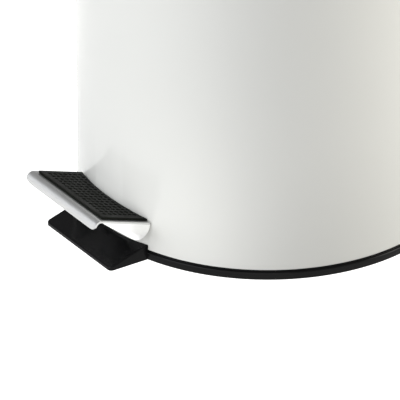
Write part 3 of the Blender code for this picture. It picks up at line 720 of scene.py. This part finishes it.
def make_pad():
    """The rubber tread: a rounded border round a field of lozenge dimples."""
    edge, corner, half = 0.0009, 0.0022, PAD_HALF
    depth, pitch = 0.0011, 0.00040
    deep = -TREAD_Y - PEDAL_REAR_R
    bm = bmesh.new()
    top = []
    for front in pad_steps(deep, edge, pitch):
        row = []
        for across in pad_steps(2 * half, edge, pitch):
            x, inset = round_corner(across - half, front, half, corner)
            rear = pedal_rear(x)
            y = TREAD_Y + (rear - TREAD_Y) * inset / deep
            rim = min(half - abs(x), y - TREAD_Y, rear - y)
            drop = depth * dimple(x, y) * border(x, y, rear, half)
            if rim < edge:
                drop += edge - math.sqrt(max(0.0, edge**2 - (edge - rim) ** 2))
            row.append(bm.verts.new((x, y, tread_z(y) - drop)))
        top.append(row)
    under = []
    for row in (top[0], [r[-1] for r in top], top[-1][::-1], [r[0] for r in top][::-1]):
        under += row[:-1]
    base = [bm.verts.new((v.co.x, v.co.y, tread_z(v.co.y, PAD_THICK - GAP))) for v in under]
    for a, b in zip(top, top[1:]):
        for i in range(len(a) - 1):
            bm.faces.new((a[i], a[i + 1], b[i + 1], b[i]))
    count = len(under)
    for i in range(count):
        j = (i + 1) % count
        bm.faces.new((under[i], under[j], base[j], base[i]))
    bm.faces.new(base)
    put("pedal_pad_tread", bm, TREAD, "pedal", ["pedal_pad"], 60)


def round_corner(x, front, half, radius):
    """Pulls the square front corners of the pad's grid in to a round one."""
    dx = abs(x) - (half - radius)
    dy = radius - front
    if dx <= 0 or dy <= 0:
        return x, front
    scale = max(dx, dy) / math.hypot(dx, dy)
    return math.copysign(half - radius + dx * scale, x), radius - dy * scale


def dimple(x, y):
    """1 at the middle of a small rounded lozenge of the tread, 0 between them."""
    pitch_x, pitch_y = 0.00475, 0.0045
    du = abs((x / pitch_x + 0.5) % 1 - 0.5) * pitch_x
    dv = abs(((y - TREAD_Y) / pitch_y) % 1 - 0.5) * pitch_y
    reach = (du / 0.00165) ** 1.5 + (dv / 0.00185) ** 1.5
    return max(0.0, min(1.0, 1.8 * (1 - reach)))


def border(x, y, rear, half):
    """Fades the dimples out towards the pad's plain border."""
    room = min(half - abs(x) - 0.0036, y - TREAD_Y - 0.0040, rear - y - 0.0015)
    return max(0.0, min(1.0, room / 0.0006))


# Lid, collar and rear


def lid_profile(outset):
    """Half section of the lid's face, inset by outset, from the crown to the edge."""
    low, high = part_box("lid_shell")
    edge_top, edge_r = low.z + 0.022, 0.008
    corner = (R - edge_r, edge_top - edge_r)
    points = [(0, high.z - outset)]
    for k in range(1, 25):
        share = k / 25
        rise = (high.z - edge_top) * (1 - share**2)
        points.append((share * corner[0], edge_top - outset + rise))
    points += arc(corner, edge_r - outset, 86, 0, 12)
    points += [(R - outset, low.z + k) for k in (0.011, 0.008, 0.005, 0.003)]
    return points


def make_lid():
    """The painted lid, with a hemmed edge and a notch for the hinge arm."""
    hem = SHEET / 2
    profile = lid_profile(0) + arc((R - hem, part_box("lid_shell")[0].z + hem), hem, 0, -180, 8)
    profile += lid_profile(SHEET)[::-1]
    lid = put("lid_shell_painted", bm_turned(profile), PAINT, "lid", ["lid_shell"])
    notch = rounded(oblong(NOTCH_HALF, *NOTCH_Z), 0.0015, 4)
    combine(lid, [tool("lid_notch", bm_prism(notch, "Y", 0.1375, 0.16))])


def make_liner():
    """The lid's moulded inner face: a shallow pan with a rim, two rings of relief and screw holes."""
    low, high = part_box("lid_liner")
    outer, wall, recess, edge = high.x, 0.0025, 0.0012, 0.0006
    profile = [(0, low.z + recess)]
    for r, rise in ((0.050, recess), (0.052, 0), (0.058, 0), (0.060, recess), (0.110, recess), (0.112, 0)):
        profile.append((r, low.z + rise))
    profile += [(outer - edge, low.z), (outer, low.z + edge), (outer, high.z)]
    profile += [(outer - wall, high.z), (outer - wall, low.z + wall), (0, low.z + wall)]
    bm = bm_turned(rounded(profile, 0.0006, 3, False))
    liner = put("lid_liner_moulded", bm, BLACK, "lid", ["lid_liner"])
    tools = [tool("liner_notch", bm_block((-NOTCH_HALF, NOTCH_HALF), (0.1385, 0.16), NOTCH_Z))]
    for k in range(1, 4):
        x, y = middle(f"lid_screw_{k}")[:2]
        tools.append(drill(DRILL_R, -0.002, 0.01, (x, y, low.z), UP, 32))
    combine(liner, tools)


def make_collar():
    """The ring on the shell's top that the bucket hangs in, with the crank's well at the rear."""
    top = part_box("top_collar")[1].z
    base = SHELL_HIGH.z + GAP
    shelf = top - 0.0055
    shelf_low = shelf - 0.003
    profile = [
        (R, base),
        (R, top - 0.0015),
        (R - 0.0015, top),
        (0.136, top),
        (0.136, shelf),
        (0.131, shelf),
        (0.131, shelf_low),
        (0.1415, shelf_low),
        (0.1415, 0.592),
        (0.1445, 0.592),
        (0.1445, base),
    ]
    bm = bm_turned(rounded(profile, 0.0005, 3))
    collar = put("top_collar_moulded", bm, BLACK, "can", ["top_collar"])
    parts = []
    for name, radius, high, front in (
        ("bridge", 0.140, top - 0.0003, 0.116),
        ("shelf", 0.139, shelf, 0.112),
    ):
        turn = math.degrees(math.asin(front / radius))
        outline = arc((0, 0), radius, turn, 180 - turn, 60)
        parts.append(tool(name, bm_prism(outline, "Z", shelf_low + 0.0002, high)))
    combine(collar, parts, "UNION")
    well = rounded(oblong(0.011, 0.1185, 0.1395), 0.002, 4)
    notch = bm_block((-0.0075, 0.0075), (0.130, 0.150), (0.6165, 0.64))
    combine(collar, [tool("well", bm_prism(well, "Z", 0.58, 0.64)), tool("notch", notch)])


def make_housing():
    """The moulded hinge housing on the rear wall with its two ears."""
    low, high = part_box("hinge_housing")
    seat = arc((0, 0), R + GAP, 70, 90, 30)
    corner = rounded([(0, 0.161), (0.0385, 0.161), (seat[0][0], 0.1500), seat[0]], 0.006, 8, False)
    half = corner[1:-1] + seat[:-1]
    outline = half + [(0, R + GAP)] + [(-x, y) for x, y in reversed(half)]
    bm = bevel_edges(bm_prism(outline, "Z", low.z, 0.6205), 0.0012, 4, 50)
    housing = put("hinge_housing_moulded", bm, BLACK, "can", ["hinge_housing"])
    ear = [(0.1485, 0.6185), (0.1605, 0.6185)] + arc((HINGE.y, HINGE.z), 0.007, 0, 180, 28)
    ears = []
    for side in (-1, 1):
        span = sorted((side * NOTCH_HALF, side * (high.x - 0.012)))
        ears.append(tool("ear", bevel_edges(bm_prism(ear, "X", *span), 0.0006, 3, 60)))
    combine(housing, ears, "UNION")
    cuts = [drill(HINGE_BORE, -0.06, 0.06, HINGE, RIGHT, 32)] + wall_drills(0.0121, "housing")
    for k in range(3):
        z = 0.572 + 0.012 * k
        groove = rounded(oblong(0.027, z, z + 0.0022), 0.0011, 4)
        cuts.append(tool("groove", bm_prism(groove, "Y", 0.1604, 0.165)))
    combine(housing, cuts)


def make_handle():
    """The rear grip, rounded all round where a hand closes on it."""
    foot = arc((0, 0), R + GAP, 66, 75, 12)
    back = R + 0.031
    raw = [(0.0, back), (0.037, back), (0.048, 0.171), (0.0625, 0.1385)]
    front = [(0.0375, 0.158), (0.031, back - 0.009), (0.0, back - 0.009)]
    half = rounded(raw + [foot[0]], 0.010, 8, False)[:-1] + foot
    half += rounded([foot[-1]] + front, 0.008, 8, False)[1:]
    outline = half + [(-x, y) for x, y in reversed(half[1:-1])]
    bm = bevel_edges(bm_prism(outline, "Z", HANDLE_LOW.z, HANDLE_HIGH.z), 0.0024, 5, 50)
    handle = put("carry_handle_moulded", bm, BLACK, "can", ["carry_handle"])
    combine(handle, wall_drills(0.0131, "handle"))


# Bucket


def make_bucket():
    """The plastic bucket: tub and rim in one, flat at the rear, with two finger grips."""
    low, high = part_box("inner_bucket")[0].z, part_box("bucket_rim")[1].z
    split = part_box("bucket_rim")[0].z
    wall, foot, top, rim = 0.002, 0.1215, 0.1285, 0.1345
    flat, foot_r, inner_r, lip = 0.103, 0.008, 0.007, 0.0014
    under = high - 0.003
    outside = [(0, low + 0.0008, 0.09), (0.085, low + 0.0008, 0.07), (0.088, low, 0.075)]
    for angle in range(0, 91, 10):
        turn = math.radians(angle)
        r = foot - foot_r + foot_r * math.sin(turn)
        outside.append((r, low + foot_r - foot_r * math.cos(turn), r - foot + flat))
    for rise, bead in ((-0.004, 0), (-0.0012, 0.0006), (0.0012, 0.0006), (0.004, 0)):
        z = split + rise
        share = (z - low - foot_r) / (under - low - foot_r)
        r = foot + (top - foot) * share + bead
        outside.append((r, z, flat + 0.0065 * share + bead))
    edge = [(top, under, 0.1095), (rim - 0.0008, under, 0.1144), (rim, under + 0.0008, 0.1152)]
    edge += [(rim, high - lip, 0.1152), (rim - lip, high, 0.1138), (top - wall + 0.0012, high, 0.1087)]
    edge.append((top - wall, high - 0.0012, 0.1075))
    inside = [(foot - wall, low + 0.011, 0.101)]
    for angle in range(80, -1, -16):
        turn = math.radians(angle)
        r = foot - wall - inner_r + inner_r * math.sin(turn)
        inside.append((r, low + 0.0095 - inner_r * math.cos(turn), r - foot + flat))
    inside.append((0, low + 0.0025, 0.09))
    points = outside + edge + inside
    profile = [(r, z) for r, z, _ in points]
    flats = [flat for _, _, flat in points]
    bm = bm_turned(profile, flats=flats)
    bucket = put("bucket_moulded", bm, BUCKET, "bucket", ["inner_bucket", "bucket_rim"])
    outline = arc((0.022, 0.594), 0.008, -90, 90, 16) + arc((-0.022, 0.594), 0.008, 90, 270, 16)
    combine(bucket, [tool("grips", bm_prism(outline, "X", -0.16, 0.16))])


# Mechanism


def make_lever():
    """The pressed steel lever, an inverted channel with eased edges."""
    half, thick, rear = 0.016, LEVER_THICK, 0.137
    front, knee, inner_knee, bend = -1.20 * R, -0.960 * R, -0.950 * R, -0.125
    over = PAD_THICK + PLATE_THICK + GAP
    under = over + thick
    web_top, skirt = 0.0254, 0.0114
    web_low = web_top - thick
    upper = [(rear, web_top), (bend, web_top), (knee, tread_z(knee, over)), (front, tread_z(front, over))]
    lower = [(front, tread_z(front, under)), (inner_knee, tread_z(inner_knee, under))]
    lower += [(bend + 0.001, web_low), (rear, web_low)]
    web = rounded(upper, 0.012, 6, False) + rounded(lower, 0.012, 6, False)
    bm = bevel_edges(bm_prism(web, "X", -half, half), 0.0004, 3, 50)
    lever = put("pedal_lever_pressed", bm, STEEL, "pedal", ["pedal_lever"])
    flange = [(-0.118, web_top - 0.001), (-0.118, skirt + 0.004), (-0.112, skirt), (0.060, skirt)]
    flange += [(0.105, web_low - 0.002), (0.105, web_top - 0.001)]
    sides = []
    for side in (-1, 1):
        span = sorted((side * (half - 0.0001), side * (half - 0.002)))
        bm = bm_prism(rounded(flange, 0.004, 5), "X", *span)
        sides.append(tool("flange", bevel_edges(bm, 0.0004, 2, 60)))
    combine(lever, sides, "UNION")
    cuts = [drill(PIVOT_BORE, -0.05, 0.05, PIVOT, RIGHT, 32)]
    for _, word in SIDES:
        x, y, low, high = middle(f"pedal_rivet_{word}")
        cuts.append(drill(0.0023, -0.008, 0.008, (x, y, (low + high) / 2), (0, TREAD_RISE, 1), 32))
    combine(lever, cuts)


def make_brackets():
    """The two pressed angles that carry the pedal's pivot pin."""
    inner, outer, thick = 0.0203, 0.036, 0.002
    base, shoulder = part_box("pedal_bracket_left")[0].z, 0.013
    front, back = PIVOT.y - 0.018, PIVOT.y + 0.018
    for side, word in SIDES:
        outline = [(front, base), (back, base), (back, shoulder)]
        outline += arc((PIVOT.y, PIVOT.z), 0.009, 10, 170, 24) + [(front, shoulder)]
        span = sorted((side * inner, side * (inner + thick)))
        bm = bevel_edges(bm_prism(outline, "X", *span), 0.0003, 2, 60)
        name = f"pedal_bracket_{word}"
        bracket = put(f"{name}_pressed", bm, STEEL, "can", [name])
        near, far = side * inner, side * outer
        foot = rounded([(near, front), (far, front), (far, back), (near, back)], 0.003, 5)
        bm = bevel_edges(bm_prism(foot, "Z", base, base + thick), 0.0003, 2, 60)
        combine(bracket, [tool("foot", bm)], "UNION")
        cuts = [drill(PIVOT_BORE, -0.05, 0.05, PIVOT, RIGHT, 32)]
        for y in (-0.107, -0.083):
            cuts.append(drill(DRILL_R, 0, 0.012, (side * 0.029, y, 0.001), UP))
        combine(bracket, cuts)


def make_channel():
    """The moulded cover over the push rod."""
    half, wall, flange = 0.017, 0.0015, 0.0245
    front, back = 0.1185, 0.1400
    low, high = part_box("rod_channel")
    section = [(half, front), (half, back - wall), (flange, back - wall), (flange, back)]
    section += [(half - wall, back), (half - wall, front + wall)]
    outline = section + [(-x, y) for x, y in reversed(section)]
    bm = bm_prism(rounded(outline, 0.0014, 4), "Z", low.z, high.z)
    channel = put("rod_channel_moulded", bm, BLACK, "can", ["rod_channel"])
    combine(channel, rivet_drills())


def make_shaft(node, start, direction, steps, material, body, slot, bore=0.0, ease=0.0004):
    """Round stock with eased ends; steps are (radius, from, to) along direction."""
    profile = [(bore, steps[0][1])]
    for radius, low, high in steps:
        profile += [(radius, low), (radius, high)]
    profile.append((bore, steps[-1][2]))
    bm = bm_turned(rounded(profile, ease, 3, bore > 0), 48, along(start, direction))
    return put(f"{node}_turned", bm, material, body, [node])


def make_screw(node, seat, out, head, thread, body):
    """A pan head screw with a cross recess; head and thread are (from, to) along out."""
    head_r, thread_r, root_r, pitch = 0.0036, 0.0019, 0.0015, 0.0005
    low, high = head
    stem = []
    for k in range(int((thread[1] - thread[0]) / pitch)):
        z = thread[0] + pitch * k
        stem += [(root_r, z), (thread_r, z + pitch / 2)]
    profile = [(0, thread[1])] + stem[::-1] + [(head_r, high)]
    for x, y in arc((0, 0), 1.0, 0, 90, 8)[1:]:
        profile.append((head_r * (0.62 + 0.38 * x), high - (high - low) * (0.25 + 0.75 * y)))
    profile.append((0, low))
    bm = bm_turned(profile, 36, along(seat, out))
    screw = put(f"{node}_cross", bm, ZINC, body, [node])
    slots = []
    for turn in (0, math.pi / 2):
        bm = bm_prism(oblong(0.0019, -0.00035, 0.00035), "Z", low - 0.001, low + 0.0009)
        place = along(seat, out) @ Matrix.Rotation(turn, 4, "Z")
        bmesh.ops.transform(bm, matrix=place, verts=bm.verts[:])
        slots.append(tool("recess", bm))
    combine(screw, slots)


def make_screws():
    """The screws in the rear wall, the base and the lid."""
    for seat, out, name in OUTWARD_SCREWS:
        length = 0.0115 if name.startswith("housing") else 0.0125
        make_screw(name, seat, out, (-0.0018, 0), (0, length), "can")
    for count, kind, out, head, body in ((6, "base", DOWN, 0.0013, "can"), (3, "lid", UP, 0.0016, "lid")):
        for k in range(1, count + 1):
            name = f"{kind}_screw_{k}"
            x, y, low, high = middle(name)
            seat = (x, y, high if out == DOWN else low)
            make_screw(name, seat, out, (0, head), (head, high - low), body)


def make_pins():
    """The pins and their clips, the push rod, the bushes and the rivets."""
    steel = (ZINC, "can", "mechanism_steel")
    clip = (ZINC, "can", "zinc_fasteners")
    pin = [(0.003, -0.0256, 0.0226), (0.0052, 0.0226, 0.0246)]
    make_shaft("pedal_pivot_pin", PIVOT, RIGHT, pin, *steel)
    pin = [(0.0025, -0.0408, 0.0383), (0.0045, 0.0383, 0.0398)]
    make_shaft("lid_hinge_pin", HINGE, RIGHT, pin, *steel)
    rod = [(0.0025, 0, 0.5632)]
    make_shaft("lift_rod", (0, 0.129, 0.0358), UP, rod, STEEL, "lift_rod", "mechanism_steel")
    start = (-0.0238, PIVOT.y, PIVOT.z)
    make_shaft("pedal_pin_clip", start, RIGHT, [(0.0055, 0, 0.001)], *clip, PIVOT_BORE, 0.0002)
    start = (-0.0395, HINGE.y, HINGE.z)
    make_shaft("hinge_pin_clip", start, RIGHT, [(0.0045, 0, 0.001)], *clip, HINGE_BORE, 0.0002)
    foot = -(PLATE_THICK + LEVER_THICK + 2 * GAP)
    rivet = [(0.0038, foot - 0.0016, foot), (0.0020, foot, 0)]
    bush, rivet_y = [(0.006, 0, 0.0037)], -1.11 * R
    for side, word in SIDES:
        start = (side * 0.0163, PIVOT.y, PIVOT.z)
        make_shaft(f"pivot_bush_{word}", start, (side, 0, 0), bush, NYLON, "can", "white_nylon", PIVOT_BORE)
        start = (side * 0.009, rivet_y, tread_z(rivet_y, PAD_THICK))
        out = (0, TREAD_RISE, 1)
        make_shaft(f"pedal_rivet_{word}", start, out, rivet, ZINC, "pedal", "mechanism_steel")
    rivet = [(0.0030, 0.0070, 0.0082), (0.0014, 0.0082, 0.0163), (0.0030, 0.0163, 0.0173)]
    for k, place in enumerate(RIVETS):
        make_shaft(f"channel_rivet_{k + 1}", place, BACK, rivet, *steel)


def make_feet():
    """The rubber feet under the base and the lid's rubber bumpers."""
    for k in range(1, 5):
        x, y, _, high = middle(f"rubber_foot_{k}")
        steps = [(0.0078, 0, 0.0004), (0.0085, 0.0008, high)]
        make_shaft(f"rubber_foot_{k}", (x, y, 0), UP, steps, FOOT, "can", "foot_rubber")
    for k in range(1, 4):
        x, y, low, high = middle(f"lid_bumper_{k}")
        steps = [(0.0020, 0, high - low)]
        make_shaft(f"lid_bumper_{k}", (x, y, low), UP, steps, FOOT, "lid", "foot_rubber", 0.0, 0.0012)


def finish_carried():
    """Gives the CAD nodes that stay in view their finished materials."""
    finishes = {
        "base_plate": STEEL,
        "lid_hinge_arm": BLACK,
        "rod_shoe": NYLON,
        "rod_pusher": NYLON,
        "rod_guide_1": NYLON,
        "rod_guide_2": NYLON,
    }
    for name, material in finishes.items():
        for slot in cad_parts[name].material_slots:
            slot.material = material


make_camera()
make_studio()
make_floor()
make_body_shell()
make_base_ring()
make_pedal_plate()
make_cheeks()
make_pad()
make_lid()
make_liner()
make_collar()
make_housing()
make_handle()
make_bucket()
make_lever()
make_brackets()
make_channel()
make_screws()
make_pins()
make_feet()
finish_carried()
